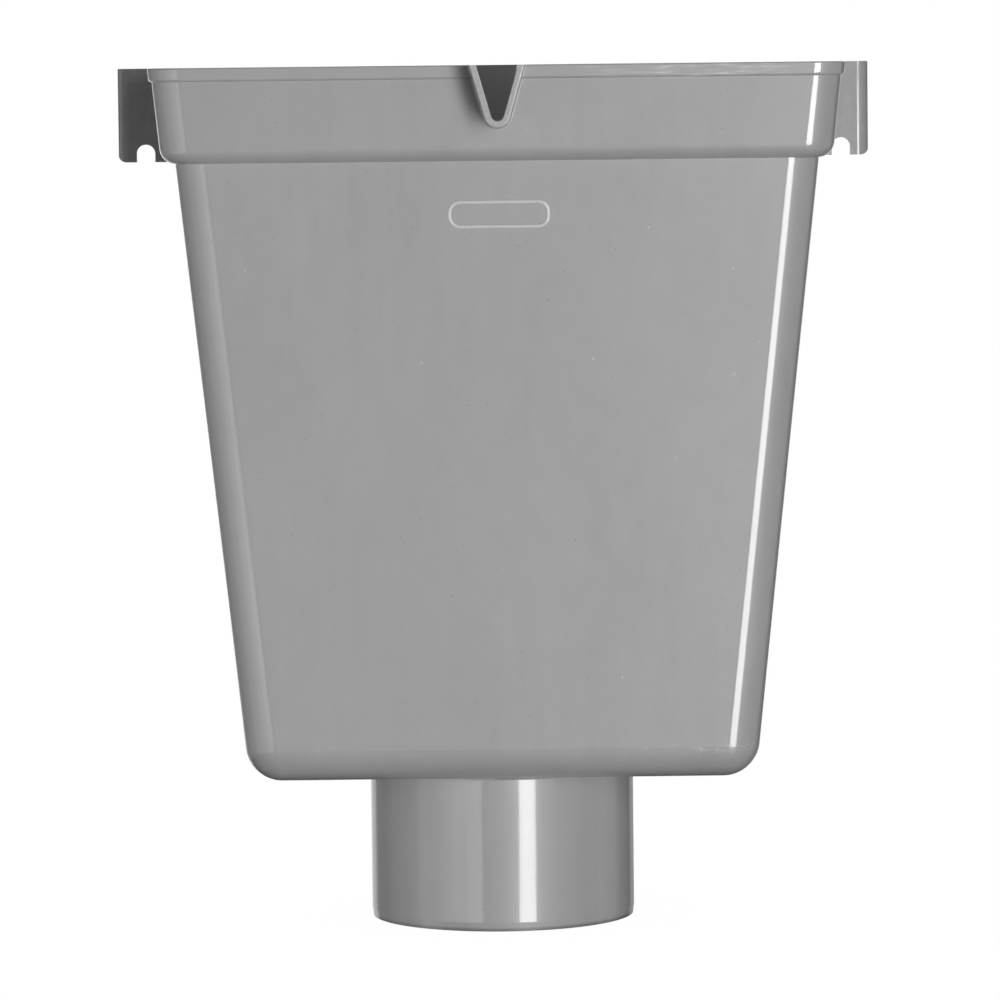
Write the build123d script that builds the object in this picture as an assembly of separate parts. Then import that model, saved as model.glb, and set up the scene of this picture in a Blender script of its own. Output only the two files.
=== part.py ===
from build123d import *
import os
from math import cos, radians, sin, tan

# Downpipe hopper head, moulded in one piece
#
# A tapered box that hangs on a wall. Gutter water falls in at the open top and leaves through
# the round outlet in the floor. A wider collar stiffens the mouth, and a V notch with a short
# spout in its front lets the water out forwards when the pipe is blocked. Two ears at the back
# hang on two screws.
#
# All sizes are in millimetres. The origin is the middle of the outlet's lower end, on the pipe's
# axis. +Z points up, the front looks along -Y, and the wall is a plane on the +Y side.

# Outlet, which pushes into an 80 mm downpipe socket
outlet_radius = 40.1
outlet_wall = 3.0
outlet_length = 46.7
lead_in_height = 2.7
lead_in_inset = 0.3
outlet_root_round = 1.0
throat_round = 2.0

# Box as a whole
hopper_height = 212.3
wall = 3.0
wall_distance = 65.0
back_edge_round = 0.5

# Rim band, the small step around the top of the collar
rim_width = 203.4
rim_front = 78.15
rim_corner = 9.5
band_height = 4.05
band_step = 1.3
band_upper_round = 0.4
band_lower_round = 1.0

# Collar
collar_height = 27.9
collar_draft = 5.6
collar_corner = 8.8
collar_lower_round = 4.8
collar_overhang = 3.8

# Tapered body under the collar
body_draft = 5.78
body_corner = 9.5
floor_edge_round = 11.0

# V notch in the front of the collar, and the spout around it
notch_depth = 16.15
notch_half_angle = 16.0
notch_root_radius = 1.9
spout_reach = 14.0
spout_lip = 2.0
spout_draft = 0.8
spout_foot_round = 0.35
spout_outer_round = 0.6
spout_inner_round = 0.2

# Ears with their hanging slots
ear_span = 236.0
ear_height = 29.3
ear_plate = 2.6
ear_stand_off = 6.0
ear_return_width = 0.4
ear_outer_bend = 3.6
ear_lower_round = 2.8
ear_upper_round = 0.7
slot_spacing = 218.2
slot_width = 5.8
slot_height = 5.5

# Levels
rim_z = outlet_length + hopper_height
band_z = rim_z - band_height
collar_z = rim_z - collar_height
floor_z = outlet_length

# Half widths and front distances, each at the level that its name gives
rim_half = rim_width / 2
collar_half_at_band = rim_half - band_step
collar_front_at_band = rim_front - band_step
collar_flare = tan(radians(collar_draft))
collar_half_at_rim = collar_half_at_band + band_height * collar_flare
collar_front_at_rim = collar_front_at_band + band_height * collar_flare
collar_half_at_foot = collar_half_at_rim - collar_height * collar_flare
collar_front_at_foot = collar_front_at_rim - collar_height * collar_flare
body_half_at_collar = collar_half_at_foot - collar_overhang
body_front_at_collar = collar_front_at_foot - collar_overhang
body_flare = tan(radians(body_draft))


def cut_at_wall(solid, y):
    """The solid without what lies behind the upright plane at y."""
    return split(solid, bisect_by=Plane(origin=(0, y, 0), z_dir=(0, 1, 0)), keep=Keep.BOTTOM)


def drafted_block(top_z, bottom_z, half_width, front, back, draft, corner, lower_round):
    """A block that narrows downwards on its front and sides, with a flat upright back.

    The half width and the front distance are those of its top. Three leaning planes trim its
    front and sides. It is drawn longer than needed and cut off at its back plane last, so that
    its rounded edges run out flat.
    """
    depth = top_z - bottom_z
    length = front + back + corner + lower_round + wall
    block = Pos(0, length / 2 - front, top_z - depth / 2) * Box(2 * half_width, length, depth)
    out = cos(radians(draft))
    down = -sin(radians(draft))
    leaning = [
        Plane(origin=(0, -front, top_z), x_dir=(1, 0, 0), z_dir=(0, -out, down)),
        Plane(origin=(half_width, 0, top_z), x_dir=(0, 1, 0), z_dir=(out, 0, down)),
        Plane(origin=(-half_width, 0, top_z), x_dir=(0, 1, 0), z_dir=(-out, 0, down)),
    ]
    for plane in leaning:
        block = split(block, bisect_by=plane, keep=Keep.BOTTOM)
    upright = block.edges().filter_by(lambda edge: abs(edge.tangent_at(0.5).Z) > 0.5)
    block = fillet(upright.sort_by(Axis.Y)[:2], corner)
    if lower_round > 0:
        bottom = block.faces().sort_by(Axis.Z)[0].edges().sort_by(Axis.Y)[:-1]
        block = fillet(bottom, lower_round)
    return cut_at_wall(block, back)


def softened_back(block, radius):
    """The block with the edges around its flat back rounded, but not the one along its top."""
    back_face = block.faces().sort_by(Axis.Y)[-1]
    edges = back_face.edges().sort_by(Axis.Z)[:-1]
    return fillet(edges, radius)


def body_block():
    """The outside of the tapered body, down to the floor's underside. Its top ends in the collar."""
    reach_up = collar_lower_round / 2
    block = drafted_block(
        collar_z + reach_up, floor_z,
        body_half_at_collar + reach_up * body_flare,
        body_front_at_collar + reach_up * body_flare,
        wall_distance, body_draft, body_corner, floor_edge_round,
    )
    return softened_back(block, back_edge_round)


def collar_block():
    """The outside of the collar, with its round lower edge. Its top ends inside the rim band."""
    reach_up = band_height / 2
    return drafted_block(
        band_z + reach_up, collar_z,
        collar_half_at_band + reach_up * collar_flare,
        collar_front_at_band + reach_up * collar_flare,
        wall_distance, collar_draft, collar_corner, collar_lower_round,
    )


def rim_band():
    """The band around the top of the collar, which leans as the collar does, with softened edges."""
    band = drafted_block(
        rim_z, band_z, rim_half, rim_front, wall_distance + wall, collar_draft, rim_corner, 0
    )
    band = fillet(band.faces().sort_by(Axis.Z)[0].edges(), band_lower_round)
    band = fillet(band.faces().sort_by(Axis.Z)[-1].edges(), band_upper_round)
    return cut_at_wall(band, wall_distance)


def v_outline(half_angle, root_radius, root_z, y):
    """An upright V with a round root, open at the rim, drawn in the plane at y.

    Its root circle has its lowest point at root_z, and its two sides leave that circle as
    tangents, leaning outwards by the half angle.
    """
    lean = radians(half_angle)
    centre_z = root_z + root_radius
    side_x = root_radius * cos(lean)
    side_z = centre_z - root_radius * sin(lean)
    top_x = side_x + (rim_z - side_z) * tan(lean)
    root = ThreePointArc((-side_x, y, side_z), (0, y, root_z), (side_x, y, side_z))
    sides = Polyline((side_x, y, side_z), (top_x, y, rim_z), (-top_x, y, rim_z), (-side_x, y, side_z))
    return make_face(root + sides)


def mouth_plane():
    """The plane of the spout's mouth, which leans with the collar's front and looks forwards."""
    lean = radians(collar_draft)
    mouth_y = -(collar_front_at_rim + spout_reach)
    return Plane(origin=(0, mouth_y, rim_z), x_dir=(1, 0, 0), z_dir=(0, -cos(lean), -sin(lean)))


def spout():
    """The V spout around the notch, still solid: it widens by its draft from mouth to collar.

    It runs on into the collar's front wall, far enough to pass through it at the notch's root.
    """
    lip_radius = notch_root_radius + spout_lip
    lip_root_z = rim_z - notch_depth - spout_lip
    lip_y = -(collar_front_at_rim + spout_reach)
    length = spout_reach + wall + notch_depth * collar_flare
    growth = length * tan(radians(spout_draft))
    lip = v_outline(notch_half_angle, lip_radius, lip_root_z, lip_y)
    foot = v_outline(notch_half_angle, lip_radius + growth, lip_root_z - growth, lip_y + length)
    body = loft([lip, foot], ruled=True)
    return split(body, bisect_by=mouth_plane(), keep=Keep.BOTTOM)


def front_with_spout():
    """The collar with its band and spout, with a small hollow round where the spout leaves them."""
    front = collar_block() + rim_band() + spout()
    reach_x = notch_root_radius + spout_lip + notch_depth * tan(radians(notch_half_angle)) + wall
    below_z = rim_z - notch_depth - spout_lip - wall
    before_y = -(rim_front + spout_foot_round)

    def at_foot(edge):
        middle = edge.position_at(0.5)
        at_height = below_z < middle.Z < rim_z - band_upper_round
        return at_height and abs(middle.X) < reach_x and before_y < middle.Y < 0

    return fillet(front.edges().filter_by(at_foot), spout_foot_round)


def notch():
    """The V opening itself, cut through the spout and the collar's front wall."""
    opening = v_outline(
        notch_half_angle, notch_root_radius, rim_z - notch_depth,
        -(collar_front_at_rim + spout_reach + wall),
    )
    through = spout_reach + 3 * wall + notch_depth * collar_flare
    return extrude(opening, amount=through, dir=(0, 1, 0))


def ear_plan():
    """One ear seen from above: a plate off the wall, whose outer end bends back to the wall."""
    root_x = body_half_at_collar - wall / 2
    front_y = wall_distance - ear_stand_off
    back_y = front_y + ear_plate
    outer_x = ear_span / 2
    crease_x = outer_x - ear_return_width
    slope = ear_return_width / ear_stand_off
    skin = ear_plate * (1 + slope**2) ** 0.5
    inner_crease_x = crease_x + ear_plate * slope - skin
    outline = Polyline(
        (root_x, front_y),
        (crease_x, front_y),
        (outer_x, wall_distance),
        (outer_x - skin, wall_distance),
        (inner_crease_x, back_y),
        (root_x, back_y),
        close=True,
    )
    plan = make_face(outline)
    outer_crease = plan.vertices().sort_by_distance((crease_x, front_y, 0))[:1]
    plan = fillet(outer_crease, ear_outer_bend)
    inner_crease = plan.vertices().sort_by_distance((inner_crease_x, back_y, 0))[:1]
    return fillet(inner_crease, ear_outer_bend - ear_plate)


def ear_front_view():
    """One ear seen from the front, with its rounded outer corners and its open slot."""
    root_x = body_half_at_collar - wall / 2
    outer_x = ear_span / 2
    width = outer_x - root_x
    plate = Pos(root_x + width / 2, rim_z - ear_height / 2) * Rectangle(width, ear_height)
    outer = plate.vertices().sort_by(Axis.X)[-2:].sort_by(Axis.Y)
    plate = fillet(outer[:1], ear_lower_round)
    outer_top = plate.vertices().sort_by_distance((outer_x, rim_z, 0))[:1]
    plate = fillet(outer_top, ear_upper_round)
    arch_z = rim_z - ear_height + slot_height - slot_width / 2
    arch = Pos(slot_spacing / 2, arch_z) * Circle(slot_width / 2)
    leg = Pos(slot_spacing / 2, arch_z - slot_height / 2) * Rectangle(slot_width, slot_height)
    return plate - arch - leg


def ear():
    """The right ear: what its plan and its front view have in common."""
    seen_from_above = extrude(Pos(0, 0, rim_z - ear_height) * ear_plan(), amount=ear_height)
    seen_from_front = extrude(
        Plane.XZ * ear_front_view(), amount=wall_distance + ear_plate, dir=(0, 1, 0)
    )
    return seen_from_above & seen_from_front


def outlet():
    """The outlet's outside as a solid round, with the lead-in at its lower end."""
    section = Polyline(
        (0, 0, 0),
        (outlet_radius - lead_in_inset, 0, 0),
        (outlet_radius, 0, lead_in_height),
        (outlet_radius, 0, floor_z + wall),
        (0, 0, floor_z + wall),
        close=True,
    )
    return revolve(make_face(section), Axis.Z)


def cavity():
    """The space inside: the wide part in the collar, the tapered part and the outlet's bore."""
    ledge_z = collar_z + wall
    inner_back = wall_distance - wall
    upper = drafted_block(
        rim_z, ledge_z, collar_half_at_rim - wall, collar_front_at_rim - wall, inner_back,
        collar_draft, collar_corner - wall, 0,
    )
    half_at_ledge = body_half_at_collar + wall * body_flare - wall
    front_at_ledge = body_front_at_collar + wall * body_flare - wall
    lower = drafted_block(
        ledge_z, floor_z + wall, half_at_ledge, front_at_ledge, inner_back,
        body_draft, body_corner - wall, floor_edge_round - wall,
    )
    bore_height = floor_z + 2 * wall
    bore = Pos(0, 0, bore_height / 2) * Cylinder(outlet_radius - outlet_wall, bore_height)
    return upper + lower + bore


def round_edge(part, radius, level):
    """The part's round edges of this radius at this level."""
    circles = part.edges().filter_by(GeomType.CIRCLE)
    return circles.filter_by(
        lambda edge: abs(edge.radius - radius) < 0.01 and abs(edge.center().Z - level) < 0.01
    )


def mouth_edges(shell, along_notch):
    """The edges of the spout's mouth below the rim: those along the notch, or else the outer ones."""
    opening = notch()
    mouth = shell.faces().sort_by(Axis.Y)[0]
    below_rim = mouth.edges().filter_by(lambda edge: rim_z - edge.center().Z > spout_outer_round)
    return below_rim.filter_by(
        lambda edge: (opening.distance_to(edge.position_at(0.5)) < spout_lip / 2) == along_notch
    )


def softened_mouth(shell):
    """The shell with a round along the spout's outer mouth, and almost sharp edges along the notch."""
    shell = fillet(mouth_edges(shell, False), spout_outer_round)
    return fillet(mouth_edges(shell, True), spout_inner_round)


def hopper_head():
    """The whole moulding: every outer form joined first, then hollowed and notched."""
    right_ear = ear()
    left_ear = mirror(right_ear, about=Plane.YZ)
    solid = body_block() + front_with_spout() + right_ear + left_ear + outlet()
    shell = solid - cavity() - notch()
    shell = fillet(round_edge(shell, outlet_radius - outlet_wall, floor_z + wall), throat_round)
    shell = fillet(round_edge(shell, outlet_radius, floor_z), outlet_root_round)
    return softened_mouth(shell)


os.makedirs("parts", exist_ok=True)
export_step(hopper_head(), "parts/hopper_head.step")
print("rim at", rim_z, "mm, rim width", rim_width, "mm, wall plane at", wall_distance, "mm")
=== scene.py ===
# %% [markdown]
# # A rainwater hopper head in grey plastic
#
# A hopper head is the open box at the top of a downpipe. Gutters and roof outlets pour into it,
# and the pipe leaves from the round outlet in its floor. This one is a single injection moulding,
# so the whole lesson is about one piece of plastic: how it is seen, how it is lit, and what its
# surface is like.
#
# The solid model arrives packed, in metres, with its origin at the middle of the outlet's lower
# end. It is the fixed frame of everything below, so nothing here moves it.

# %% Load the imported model
from math import atan, cos, degrees, radians, sin, tan

import bpy
import numpy as np
from mathutils import Matrix, Vector


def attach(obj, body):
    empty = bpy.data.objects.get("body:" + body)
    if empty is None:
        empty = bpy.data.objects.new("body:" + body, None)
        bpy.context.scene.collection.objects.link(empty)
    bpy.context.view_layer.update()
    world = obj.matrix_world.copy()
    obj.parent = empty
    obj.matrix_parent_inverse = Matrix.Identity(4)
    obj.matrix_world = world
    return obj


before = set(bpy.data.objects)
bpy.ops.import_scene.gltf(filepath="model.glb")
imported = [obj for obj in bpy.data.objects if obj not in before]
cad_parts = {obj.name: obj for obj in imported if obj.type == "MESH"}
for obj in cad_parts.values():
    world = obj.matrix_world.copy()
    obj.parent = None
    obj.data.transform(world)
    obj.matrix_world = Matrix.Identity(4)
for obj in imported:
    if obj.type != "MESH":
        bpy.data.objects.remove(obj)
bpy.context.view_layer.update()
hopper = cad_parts["hopper_head"]

# %% [markdown]
# ## Camera
#
# The photograph was taken from far away with a long lens, nearly level with the rim: the rim is
# almost a straight line, and the outlet's lower end shows as a flat ellipse. A short lens close by
# could frame the object too, but it would splay the tapered sides. So the camera keeps the place,
# the small turns and the long lens that were worked out from the ellipse, the horizon and the
# converging sides.

# %% Place the camera
CAMERA_PLACE = Vector((-0.01434, -1.71805, 0.25873))
CAMERA_YAW = radians(0.4882)
CAMERA_PITCH = radians(4.3954)
CAMERA_ROLL = 0.0108  # in radians
SENSOR_WIDTH = 36.0
LENS = 203.4
NEAREST_SEEN, FARTHEST_SEEN = 0.05, 50.0

forward = Vector((
    sin(CAMERA_YAW) * cos(CAMERA_PITCH),
    cos(CAMERA_YAW) * cos(CAMERA_PITCH),
    -sin(CAMERA_PITCH),
))
level_right = Vector((cos(CAMERA_YAW), -sin(CAMERA_YAW), 0.0))
level_down = forward.cross(level_right)
image_right = cos(CAMERA_ROLL) * level_right + sin(CAMERA_ROLL) * level_down
image_down = -sin(CAMERA_ROLL) * level_right + cos(CAMERA_ROLL) * level_down

camera_data = bpy.data.cameras.new("photo_camera")
camera_data.sensor_width = SENSOR_WIDTH
camera_data.lens = LENS
camera_data.clip_start = NEAREST_SEEN
camera_data.clip_end = FARTHEST_SEEN
camera = bpy.data.objects.new("photo_camera", camera_data)
bpy.context.scene.collection.objects.link(camera)
axes = Matrix((image_right, -image_down, -forward)).transposed()
camera.matrix_world = Matrix.Translation(CAMERA_PLACE) @ axes.to_4x4()
bpy.context.scene.camera = camera
print("camera at", tuple(CAMERA_PLACE), "with a", LENS, "mm lens")

# %% [markdown]
# ## Studio
#
# The picture is a catalogue shot on a white ground. The round outlet works like a curved mirror, so
# the studio can be read from it: one bright strip light to the right of the camera draws the hard
# white line, and a row of dim panels to the left ends in a soft step. The same strip draws the thin
# line down the right corner. Little light comes from above, so the inside of the hopper stays dark.
#
# Each light is a rectangle that is given as it looks from the object: the compass angle to the
# right of the camera, the height angle, and the distance. That makes it easy to compare with where
# its reflection sits on the round outlet, because a reflection turns by twice the wall's angle.
#
# A panel does two things: it throws light that the plastic scatters, and it shows in the skin as a
# mirror image. On a set, black flags and cards let a photographer weigh the two apart. Here each
# panel gets two brightnesses for that, and they were found by least squares: every lamp was
# rendered alone, and the sum of them all was fitted to the picture's levels.

# %% A light panel given by the angles it spans
LIT_POINT = Vector((0.0, -0.04, 0.14))
MIRRORED_BEHIND = 1.004


def light_panel(name, left_deg, right_deg, low_deg, high_deg, distance, lighting, mirrored):
    """A flat light that spans these angles, seen from the lit point.

    Its width is twice the distance times the tangent of half the angle that it spans, and its
    power is radiance times pi times its area. One lamp throws the light that the plastic
    scatters, with the radiance lighting. A second one just behind it is only seen as a
    reflection, with the radiance mirrored.
    """
    middle = radians((left_deg + right_deg) / 2)
    height = radians((low_deg + high_deg) / 2)
    way = Vector((sin(middle) * cos(height), -cos(middle) * cos(height), sin(height)))
    uses = (("lighting", lighting, 1.0), ("mirrored", mirrored, MIRRORED_BEHIND))
    for use, radiance, away in uses:
        if radiance == 0.0:
            continue
        light = bpy.data.lights.new(f"{name}_{use}", "AREA")
        light.shape = "RECTANGLE"
        light.size = 2 * distance * tan(radians(right_deg - left_deg) / 2)
        light.size_y = 2 * distance * tan(radians(high_deg - low_deg) / 2)
        light.energy = radiance * np.pi * light.size * light.size_y
        lamp = bpy.data.objects.new(light.name, light)
        bpy.context.scene.collection.objects.link(lamp)
        lamp.location = LIT_POINT + distance * away * way
        lamp.rotation_euler = way.to_track_quat("Z", "Y").to_euler()
        lamp.visible_camera = False
        lamp.visible_glossy = use == "mirrored"
        lamp.visible_diffuse = use == "lighting"
        print(f"{light.name}: {light.size:.2f} by {light.size_y:.2f} m, {light.energy:.1f} W")


print("every light will face", tuple(LIT_POINT))

# %% [markdown]
# ### The strip light
#
# The strip stands 21 degrees to the right of the camera and is 14 degrees wide. It isn't equally
# bright from end to end: a softbox is brightest at its middle and fades towards its ends. One light
# can't fade, so the strip is stacked from pieces, with a dim skirt where its edge glows.

# %% Strip light, with a dim skirt on its inner side
STRIP_LEFT, STRIP_RIGHT = 14.2, 28.6
STRIP_AWAY = 1.4
SKIRT_LEFT = 7.0
SKIRT_AWAY = 1.42

light_panel("strip_foot", STRIP_LEFT, STRIP_RIGHT, -45.0, -31.0, STRIP_AWAY, 0.95, 0.99)
light_panel("strip_low", STRIP_LEFT, STRIP_RIGHT, -24.2, -10.0, STRIP_AWAY, 11.70, 10.90)
light_panel("strip_middle", STRIP_LEFT, STRIP_RIGHT, -10.0, 4.0, STRIP_AWAY, 16.80, 13.00)
light_panel("strip_high", STRIP_LEFT, STRIP_RIGHT, 4.0, 20.0, STRIP_AWAY, 6.48, 3.24)
light_panel("strip_skirt", SKIRT_LEFT, STRIP_LEFT, -24.0, -6.0, SKIRT_AWAY, 0.95, 0.50)

# %% [markdown]
# ### The panels to the left
#
# These give the left corner, the left half of the outlet and the left ear their shading, which
# fades step by step towards the edges. One wide panel would look flat in those round forms, so it
# is cut into neighbours that each have their own brightness. The first three stand close, and the
# others as far away as the fill.

# %% Panels to the left
PANEL_LOW = -26.0
NEAR_TOP = 2.5
NEAR_AWAY = 0.65
FAR_AWAY = 1.5

light_panel("left_inner", -32.0, -19.3, PANEL_LOW, NEAR_TOP, NEAR_AWAY, 0.75, 1.98)
light_panel("left_middle", -45.0, -32.0, PANEL_LOW, NEAR_TOP, NEAR_AWAY, 0.00, 1.53)
light_panel("left_outer", -58.0, -45.0, PANEL_LOW, NEAR_TOP, NEAR_AWAY, 2.18, 1.24)
light_panel("left_side", -80.0, -58.0, PANEL_LOW, -2.0, FAR_AWAY, 0.00, 0.91)
light_panel("left_far", -118.0, -80.0, PANEL_LOW, 22.0, FAR_AWAY, 1.06, 0.40)
light_panel("left_behind", -148.0, -118.0, PANEL_LOW, 2.0, FAR_AWAY, 0.26, 0.28)
light_panel("left_rim", -178.0, -148.0, PANEL_LOW, 2.0, FAR_AWAY, 0.00, 0.77)

# %% [markdown]
# ### Fill
#
# The rest of a studio is never black. Weak panels above, in the middle and to the right keep the
# right side and the shadow beside the spout from going dark. The one straight above is small, so it
# reaches the floor of the hopper but only grazes the walls that the notch lets us see.

# %% Fill from above, from the middle and from the right
light_panel("above", -10.0, 10.0, 80.0, 100.0, FAR_AWAY, 2.50, 0.00)
light_panel("above_front", -40.0, 40.0, 62.0, 90.0, FAR_AWAY, 0.04, 0.06)
light_panel("above_behind", 140.0, 220.0, 52.0, 90.0, FAR_AWAY, 0.25, 0.36)
light_panel("middle_fill", -12.0, 7.0, PANEL_LOW, -4.0, FAR_AWAY, 0.00, 0.23)
light_panel("right_low", 46.0, 84.0, -24.0, -11.0, FAR_AWAY, 0.90, 0.00)
light_panel("right_high", 42.0, 90.0, -2.0, 25.0, FAR_AWAY, 0.20, 0.00)
light_panel("right_side", 92.0, 120.0, PANEL_LOW, -2.0, FAR_AWAY, 0.00, 0.29)
light_panel("right_behind", 150.0, 178.0, PANEL_LOW, -2.0, FAR_AWAY, 0.29, 0.35)

# %% [markdown]
# The photograph's camera never sees the wall side, but a turned view does. Two panels behind the
# hopper light it. The lower one throws no mirror image, so the outline of the sides stays as it is.

# %% Fill for the wall side
light_panel("behind", 150.0, 210.0, -10.0, 35.0, FAR_AWAY, 1.18, 0.72)
light_panel("behind_low", 150.0, 210.0, -38.0, -10.0, FAR_AWAY, 1.60, 0.00)

# %% [markdown]
# ## Ground and surroundings
#
# The ground is plain white paper. It is drawn as an even white glow with a painted contact shadow:
# it darkens a trace where the object stands close, which is what paper under wide light looks like.
# It isn't seen by reflections, so that the lights may reach below its level, as they do when an
# object hangs free.

# %% White ground
GROUND_HALF = 3.0
GROUND_SHADE = 0.985
SHADE_REACH = 0.04

ground_mesh = bpy.data.meshes.new("ground")
ground_mesh.from_pydata(
    [(x * GROUND_HALF, y * GROUND_HALF, 0.0) for x, y in ((-1, -1), (1, -1), (1, 1), (-1, 1))],
    [], [(0, 1, 2, 3)],
)
ground = bpy.data.objects.new("ground", ground_mesh)
bpy.context.scene.collection.objects.link(ground)
ground.visible_diffuse = False
ground.visible_glossy = False
ground.visible_shadow = False

ground_paper = bpy.data.materials.new("ground_paper")
ground_paper.use_nodes = True
paper_nodes = ground_paper.node_tree.nodes
paper_links = ground_paper.node_tree.links
paper_nodes.clear()
# painted contact shadow: ambient occlusion dims the glow near the object
painted_contact_shadow = paper_nodes.new("ShaderNodeAmbientOcclusion")
painted_contact_shadow.samples = 8
painted_contact_shadow.inputs["Distance"].default_value = SHADE_REACH
paper_tone = paper_nodes.new("ShaderNodeMapRange")
paper_tone.inputs["To Min"].default_value = GROUND_SHADE
paper_tone.inputs["To Max"].default_value = 1.0
glow = paper_nodes.new("ShaderNodeEmission")
paper_out = paper_nodes.new("ShaderNodeOutputMaterial")
paper_links.new(painted_contact_shadow.outputs["AO"], paper_tone.inputs["Value"])
paper_links.new(paper_tone.outputs["Result"], glow.inputs["Strength"])
paper_links.new(glow.outputs["Emission"], paper_out.inputs["Surface"])
ground_mesh.materials.append(ground_paper)
print("ground of", 2 * GROUND_HALF, "m")

# %% [markdown]
# The surroundings are white only where the camera looks straight at them. For all other rays they
# give next to nothing, because the panels already do the lighting, and white light from everywhere
# would wash out the reflections.

# %% White surroundings
AMBIENT = 0.01

world = bpy.data.worlds.new("white_studio")
bpy.context.scene.world = world
world.use_nodes = True
world_nodes = world.node_tree.nodes
world_links = world.node_tree.links
world_nodes.clear()
ray = world_nodes.new("ShaderNodeLightPath")
strength = world_nodes.new("ShaderNodeMapRange")
strength.inputs["To Min"].default_value = AMBIENT
strength.inputs["To Max"].default_value = 1.0
sky = world_nodes.new("ShaderNodeBackground")
sky.inputs["Color"].default_value = (1.0, 1.0, 1.0, 1.0)
world_out = world_nodes.new("ShaderNodeOutputWorld")
world_links.new(ray.outputs["Is Camera Ray"], strength.inputs["Value"])
world_links.new(strength.outputs["Result"], sky.inputs["Strength"])
world_links.new(sky.outputs["Background"], world_out.inputs["Surface"])
bpy.context.scene.view_settings.view_transform = "Standard"
print("surroundings: white, with", AMBIENT, "of fill")

# %% [markdown]
# ## Grey uPVC
#
# The hopper is moulded in mid-grey uPVC that is coloured right through, so there is no paint to
# chip. What makes it look moulded rather than computed is slight, and a painted picture could give
# it too. Here all of it is a function of the place in the object: there are no seams, the marks sit
# in the plastic, and they don't move with the view. A few of them are painted light and shade
# rather than marks of the plastic, and are called so where they are made.
#
# Two helpers keep the cells short. Each adds one node and gives back its output.

# %% The plastic and two small helpers for its nodes
upvc = bpy.data.materials.new("moulded_grey_upvc")
upvc.use_nodes = True
upvc_nodes = upvc.node_tree.nodes
upvc_links = upvc.node_tree.links
plastic = upvc_nodes["Principled BSDF"]
place = upvc_nodes.new("ShaderNodeTexCoord").outputs["Object"]


def combine(operation, first, second):
    """One math node. Each of its two values is a number or the output of another node."""
    node = upvc_nodes.new("ShaderNodeMath")
    node.operation = operation
    for socket, value in zip(node.inputs, (first, second)):
        if isinstance(value, (int, float)):
            socket.default_value = value
        else:
            upvc_links.new(value, socket)
    return node.outputs["Value"]


def ramp(value, start, end, at_start, at_end):
    """The value carried from the range start..end to at_start..at_end, and held outside it."""
    node = upvc_nodes.new("ShaderNodeMapRange")
    limits = {"From Min": start, "From Max": end, "To Min": at_start, "To Max": at_end}
    for name, limit in limits.items():
        node.inputs[name].default_value = limit
    upvc_links.new(value, node.inputs["Value"])
    return node.outputs["Result"]


print("plastic started from", len(upvc_nodes), "nodes")

# %% [markdown]
# ### Where things happen
#
# Some marks belong to one place: the rim band is made a little paler as painted light, the spout
# and the ears are worn, the spout also paler as painted light and the ears darker as painted shade,
# the bend of the floor is scuffed where the hopper was stood down, and the edge of the outlet's end
# is darkened as painted shade. Ramps over the coordinates mark these places, which needs no texture
# painting. Each ramp names the two places, in metres, between which a mark fades in or out.

# %% Places on the object
FLOOR_BEND_HEIGHT = 0.0562

split_place = upvc_nodes.new("ShaderNodeSeparateXYZ")
upvc_links.new(place, split_place.inputs["Vector"])
place_x, place_y, place_z = (split_place.outputs[axis] for axis in "XYZ")

right_of_middle = ramp(place_x, 0.015, 0.050, 0.0, 1.0)
before_corner = ramp(place_x, 0.078, 0.090, 1.0, 0.0)
on_front = ramp(place_y, -0.040, -0.030, 1.0, 0.0)
far_right = ramp(place_x, 0.030, 0.060, 0.0, 1.0)
# the rim band: the place of its scuffs, and of a painted lightening of the whole band
on_band = ramp(place_z, 0.2545, 0.2552, 0.0, 1.0)
on_spout = ramp(place_y, -0.0840, -0.0805, 1.0, 0.0)
from_floor_bend = combine("ABSOLUTE", combine("SUBTRACT", place_z, FLOOR_BEND_HEIGHT), 0.0)
at_floor_bend = ramp(from_floor_bend, 0.0003, 0.0019, 1.0, 0.0)
# painted shade: the lower edge of the outlet's end, which faces down, is darkened
outlet_end_painted_shade = ramp(place_z, 0.0005, 0.0013, 1.0, 0.0)
from_middle = combine("ABSOLUTE", place_x, 0.0)
on_ears = ramp(from_middle, 0.1030, 0.1040, 0.0, 1.0)
print("places marked,", len(upvc_nodes), "nodes so far")

# %% [markdown]
# ### Patterns
#
# Nearly every mark starts as a smooth noise over the place in the object. Its stretch is given as
# cells per metre, so a small number along one axis draws the pattern out that way.


# %% Smooth noise, stretched as wanted
def stretched(cells_x, cells_y, cells_z):
    """The place in the object, with this many pattern cells per metre along each axis."""
    mapping = upvc_nodes.new("ShaderNodeMapping")
    mapping.inputs["Scale"].default_value = (cells_x, cells_y, cells_z)
    upvc_links.new(place, mapping.inputs["Vector"])
    return mapping.outputs["Vector"]


def noise(vector, detail):
    """Smooth noise over this vector, between 0 and 1, with its middle at 0.5."""
    node = upvc_nodes.new("ShaderNodeTexNoise")
    node.inputs["Scale"].default_value = 1.0
    node.inputs["Detail"].default_value = detail
    upvc_links.new(vector, node.inputs["Vector"])
    return node.outputs["Fac"]


print("patterns will follow the", place.name, "coordinates")

# %% [markdown]
# ### Marks that are everywhere
#
# The melt cools unevenly. That leaves soft blotches some centimetres wide, a finer mottling, faint
# upright flow marks that come and go, and a grain at the limit of sight. Four noises of different
# size and stretch are added, and each varies evenly about zero, so the mean tone stays.


# %% Even marks: blotches, mottling, flow marks and grain
def around_zero(value, strength):
    """A pattern of 0 to 1 moved to lie evenly about 0, and scaled by this strength."""
    return combine("MULTIPLY", combine("SUBTRACT", value, 0.5), strength)


BLOTCH_STRENGTH = 0.12
MOTTLE_STRENGTH = 0.090
FLOW_WEAKEST, FLOW_STRONGEST = 0.040, 0.135
GRAIN_STRENGTH = 0.06

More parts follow.
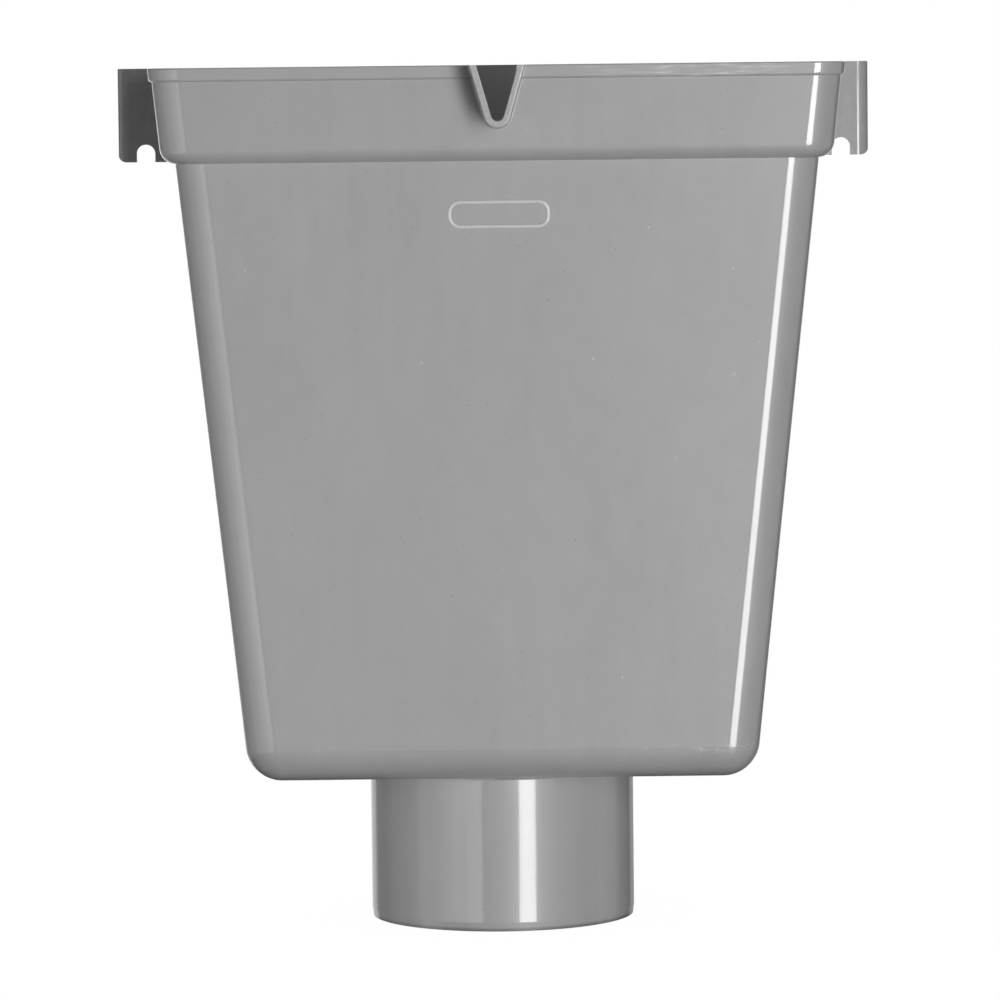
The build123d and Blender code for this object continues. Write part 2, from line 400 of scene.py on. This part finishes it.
blotches = noise(stretched(26.0, 26.0, 15.0), 2.0)
mottling = noise(stretched(150.0, 150.0, 120.0), 3.0)
flow_marks = noise(stretched(210.0, 210.0, 13.0), 3.0)
flow_areas = noise(stretched(14.0, 14.0, 9.0), 1.0)
flow_strength = ramp(flow_areas, 0.40, 0.62, FLOW_WEAKEST, FLOW_STRONGEST)
grain = noise(stretched(700.0, 700.0, 700.0), 2.0)

even_marks = around_zero(blotches, BLOTCH_STRENGTH)
for pattern, pattern_strength in (
    (mottling, MOTTLE_STRENGTH),
    (flow_marks, flow_strength),
    (grain, GRAIN_STRENGTH),
):
    even_marks = combine("ADD", even_marks, around_zero(pattern, pattern_strength))
print("even marks added,", len(upvc_nodes), "nodes so far")

# %% [markdown]
# ### Single marks
#
# Tiny dark specks of burnt resin sit in the skin, and handling adds pale nicks. Both are spots
# around scattered points, one point to each cell of a pattern. Only a share of the cells gets a
# spot, so they lie thinly and unevenly.

# %% Specks and nicks
SPOT_FULL, SPOT_GONE = 0.6, 1.2


def spots(vector, radius, share):
    """Soft spots of this radius in cells, in this share of the cells: 1 inside and 0 outside."""
    cells = upvc_nodes.new("ShaderNodeTexVoronoi")
    cells.inputs["Scale"].default_value = 1.0
    upvc_links.new(vector, cells.inputs["Vector"])
    split_colour = upvc_nodes.new("ShaderNodeSeparateColor")
    upvc_links.new(cells.outputs["Color"], split_colour.inputs["Color"])
    spot = ramp(cells.outputs["Distance"], SPOT_FULL * radius, SPOT_GONE * radius, 1.0, 0.0)
    chosen = combine("LESS_THAN", split_colour.outputs["Red"], share)
    return combine("MULTIPLY", spot, chosen)


specks = spots(stretched(190.0, 190.0, 190.0), 0.050, 0.8)
nicks = spots(stretched(120.0, 120.0, 85.0), 0.042, 0.35)
print("specks and nicks added,", len(upvc_nodes), "nodes so far")

# %% [markdown]
# ### Scuffs, wear, and painted light and shade
#
# Scuffs run along the rim band and along the bend of the floor. They are noise that is stretched
# along the surface and cut off below a threshold, times the places where they belong. The spout and
# the ears were handled most, so a fine mottle makes them uneven. Besides that the spout is made a
# little paler all over as painted light, and the ears a little darker as painted shade.

# %% Scuffs at the band and the floor; wear and painted light on the spout, wear and painted shade on the ears
scuff_lines = ramp(noise(stretched(130.0, 130.0, 1500.0), 3.0), 0.46, 0.70, 0.0, 1.0)
bend_scuffs = ramp(noise(stretched(480.0, 480.0, 1300.0), 3.0), 0.50, 0.72, 0.0, 1.0)
scuffed_stretch = combine("MULTIPLY", right_of_middle, before_corner)
band_scuffs = combine("MULTIPLY", combine("MULTIPLY", on_band, scuffed_stretch), scuff_lines)
floor_scuffs = combine("MULTIPLY", combine("MULTIPLY", at_floor_bend, far_right), bend_scuffs)
scuffs = combine("MULTIPLY", combine("ADD", band_scuffs, floor_scuffs), on_front)

spout_mottle = ramp(noise(stretched(900.0, 900.0, 900.0), 3.0), 0.42, 0.68, 0.25, 1.0)
# the spout's paler tone is partly worn mottle and partly painted light
spout_wear_and_painted_light = combine("MULTIPLY", on_spout, spout_mottle)
ear_mottle = around_zero(noise(stretched(420.0, 420.0, 300.0), 3.0), 0.28)
# the ears' mottle is wear; taking 0.03 off darkens both ears as painted shade
ear_wear_and_painted_shade = combine("MULTIPLY", on_ears, combine("SUBTRACT", ear_mottle, 0.03))
print("scuffs and wear added,", len(upvc_nodes), "nodes so far")

# %% [markdown]
# ### The tone
#
# All marks are added to 1 and scale one grey pigment, so a strength is a share of the plain tone:
# above zero it makes the plastic paler, below zero darker. The panel's outline carries an attribute
# of its own, because its worn edge is much paler than anything else.

# %% Tone: all marks together, around 1
PLASTIC_GREY = (0.379, 0.379, 0.377)

worn = upvc_nodes.new("ShaderNodeAttribute")
worn.attribute_name = "worn"

tone = combine("ADD", even_marks, 1.0)
for mark, mark_strength in (
    (specks, -0.34),
    # painted shade at the outlet's lower edge
    (outlet_end_painted_shade, -0.48),
    (nicks, 0.25),
    (scuffs, 0.28),
    # painted light: the whole rim band made a little paler
    (on_band, 0.035),
    # wear and painted light on the spout
    (spout_wear_and_painted_light, 0.20),
    # wear and painted shade on the ears
    (ear_wear_and_painted_shade, 1.0),
    (worn.outputs["Fac"], 0.65),
):
    tone = combine("ADD", tone, combine("MULTIPLY", mark, mark_strength))

pigment = upvc_nodes.new("ShaderNodeVectorMath")
pigment.operation = "SCALE"
pigment.inputs[0].default_value = PLASTIC_GREY
upvc_links.new(tone, pigment.inputs["Scale"])
upvc_links.new(pigment.outputs["Vector"], plastic.inputs["Base Color"])
print("tone built,", len(upvc_nodes), "nodes so far")

# %% [markdown]
# ### The skin
#
# The skin copies the polished mould, so it mirrors the strip light sharply. Under that clear skin
# the filled plastic scatters, which the rough layer stands for. One rough layer alone couldn't do
# both. Smudges dull the gloss here and there, and specks, nicks and scuffs break it.

# %% Gloss
UPVC_IOR = 1.5
GLOSS_BREAK = 0.3
SMUDGE_START, SMUDGE_END = 0.35, 0.70
SKIN_CLEAN, SKIN_SMUDGED = 0.070, 0.110
BODY_CLEAN, BODY_SMUDGED = 0.40, 0.46

smudges = noise(stretched(34.0, 34.0, 26.0), 4.0)
broken_skin = combine("ADD", combine("ADD", specks, nicks), scuffs)
gloss_break = combine("MULTIPLY", broken_skin, GLOSS_BREAK)
skin = ramp(smudges, SMUDGE_START, SMUDGE_END, SKIN_CLEAN, SKIN_SMUDGED)
body = ramp(smudges, SMUDGE_START, SMUDGE_END, BODY_CLEAN, BODY_SMUDGED)
upvc_links.new(combine("ADD", skin, gloss_break), plastic.inputs["Coat Roughness"])
upvc_links.new(body, plastic.inputs["Roughness"])
plastic.inputs["IOR"].default_value = UPVC_IOR
plastic.inputs["Coat Weight"].default_value = 1.0
plastic.inputs["Coat IOR"].default_value = UPVC_IOR
print("gloss set,", len(upvc_nodes), "nodes so far")

# %% [markdown]
# Slow sink waves bend the reflections a little, as on every wall that shrank while it cooled, and
# the skin has a fine orange peel. Both are far too slight to model, so a bump map tilts the light
# without moving the surface. Heights are in units of the relief's depth, a hundredth of a
# millimetre.

# %% Sink waves and orange peel
RELIEF_DEPTH = 0.00001
WAVE_HEIGHT = 6.0
PEEL_HEIGHT = 0.12

sink_waves = noise(stretched(38.0, 38.0, 20.0), 1.0)
orange_peel = noise(stretched(420.0, 420.0, 420.0), 2.0)
wave_relief = combine("MULTIPLY", sink_waves, WAVE_HEIGHT)
peel_relief = combine("MULTIPLY", orange_peel, PEEL_HEIGHT)
relief = combine("ADD", wave_relief, peel_relief)
bump = upvc_nodes.new("ShaderNodeBump")
bump.inputs["Strength"].default_value = 1.0
bump.inputs["Distance"].default_value = RELIEF_DEPTH
upvc_links.new(relief, bump.inputs["Height"])
upvc_links.new(bump.outputs["Normal"], plastic.inputs["Normal"])
upvc_links.new(bump.outputs["Normal"], plastic.inputs["Coat Normal"])

for slot in hopper.material_slots:
    slot.material = upvc
print("slots dressed:", len(hopper.material_slots))

# %% [markdown]
# ## The panel's outline
#
# High on the front wall the mould leaves a low raised outline, a long rounded rectangle around a
# plain field. It is too slight for the solid model, so it is laid on as a surface: a rounded
# rectangle swept with a low dome, with its foot sunk in the wall.
#
# The wall leans, so rays find where it is, and the outline is laid out in its plane.

# %% Find the front wall's plane
PANEL_X = 0.0003
PANEL_Z = 0.2156
PROBE_STEP = 0.004


def wall_point(height):
    """The place where a level ray from the front meets the hopper at this height."""
    ray_start = Vector((PANEL_X, -1.0, height))
    return np.array(hopper.ray_cast(ray_start, Vector((0.0, 1.0, 0.0)))[1])


panel_centre = wall_point(PANEL_Z)
wall_up = wall_point(PANEL_Z + PROBE_STEP) - wall_point(PANEL_Z - PROBE_STEP)
wall_up /= np.linalg.norm(wall_up)
wall_right = np.array((1.0, 0.0, 0.0))
wall_out = np.cross(wall_right, wall_up)
lean = degrees(atan(wall_up[1] / wall_up[2]))
print("panel centre", panel_centre.round(5), "wall leans", round(lean, 2), "degrees")

# %% [markdown]
# The outline could be a bevelled curve. Worked out as a surface it keeps a true dome section, and
# every point lies where the formula says, so the foot stays in the wall all the way round. First
# comes the path that the dome follows.


# %% The path of the outline
def rounded_rectangle(half_width, half_height, corner, per_corner, per_side):
    """Points and outward directions around a rounded rectangle, as two arrays of (n, 2).

    Each corner is a quarter circle: centre + corner * (cos a, sin a), with a running over 90
    degrees, and its outward direction is (cos a, sin a). The sides are the straight runs between
    them, and keep the direction of the corner's end.
    """
    angle = np.linspace(0.0, np.pi / 2, per_corner)
    quarter = np.stack((np.cos(angle), np.sin(angle)), axis=1)
    turn = np.array(((0.0, 1.0), (-1.0, 0.0)))
    inner = np.array((half_width - corner, half_height - corner))
    signs = np.array(((1, 1), (-1, 1), (-1, -1), (1, -1)))
    outward = [quarter @ np.linalg.matrix_power(turn, k) for k in range(4)]
    corners = [signs[k] * inner + corner * outward[k] for k in range(4)]
    share = np.linspace(0.0, 1.0, per_side + 2)[1:-1, None]
    points, ways = [], []
    for k in range(4):
        end, start = corners[k][-1], corners[(k + 1) % 4][0]
        points += [corners[k], end + share * (start - end)]
        ways += [outward[k], np.repeat(outward[k][-1:], per_side, axis=0)]
    return np.concatenate(points), np.concatenate(ways)


path, ways = rounded_rectangle(
    half_width=0.0144, half_height=0.0036, corner=0.0030, per_corner=14, per_side=24
)
print("path of", len(path), "points")

# %% [markdown]
# The dome is then carried along that path. Its two parameters are the place on the path and the
# angle round the section, so the whole surface is one grid of points, closed both ways. The sunk
# foot keeps the ridge tight to the wall, with no gap at its edge.


# %% Raised outline as a swept surface
def swept_outline(path, ways, half_breadth, height, sunk, steps):
    """A closed ridge along the path, as vertices and quads.

    Its section is half_breadth * cos(t) across. Out of the wall it is height * sin(t), a dome for
    t in 0..pi, and it closes inside the wall as sunk * sin(t), the flat rest of the turn.
    """
    t = np.linspace(0.0, 2 * np.pi, steps, endpoint=False)
    across = half_breadth * np.cos(t)
    out = np.where(np.sin(t) > 0, height, sunk) * np.sin(t)
    flat = path[:, None, :] + across[None, :, None] * ways[:, None, :]
    grid = (
        panel_centre
        + flat[..., 0:1] * wall_right
        + flat[..., 1:2] * wall_up
        + out[None, :, None] * wall_out
    )
    rows, columns = grid.shape[:2]
    number = np.arange(rows * columns).reshape(rows, columns)
    right, up = np.roll(number, -1, axis=0), np.roll(number, -1, axis=1)
    quads = np.stack((number, right, np.roll(right, -1, axis=1), up), axis=-1).reshape(-1, 4)
    return grid.reshape(-1, 3), quads


vertices, quads = swept_outline(
    path, ways, half_breadth=0.00055, height=0.00028, sunk=0.0002, steps=14
)
outline_mesh = bpy.data.meshes.new("bare_panel_outline")
outline_mesh.from_pydata(vertices.tolist(), [], quads.tolist())
outline_mesh.polygons.foreach_set("use_smooth", np.ones(len(quads), dtype=bool))
worn_values = outline_mesh.attributes.new("worn", "FLOAT", "POINT")
worn_values.data.foreach_set("value", np.ones(len(vertices), dtype=np.float32))
outline_mesh.materials.append(upvc)
outline_mesh.update()
outline = bpy.data.objects.new("bare_panel_outline", outline_mesh)
bpy.context.scene.collection.objects.link(outline)
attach(outline, "root")
face_area = sum(face.area for face in outline_mesh.polygons)
print("outline of", len(quads), "quads, face area", round(face_area * 1e6, 1), "mm2")
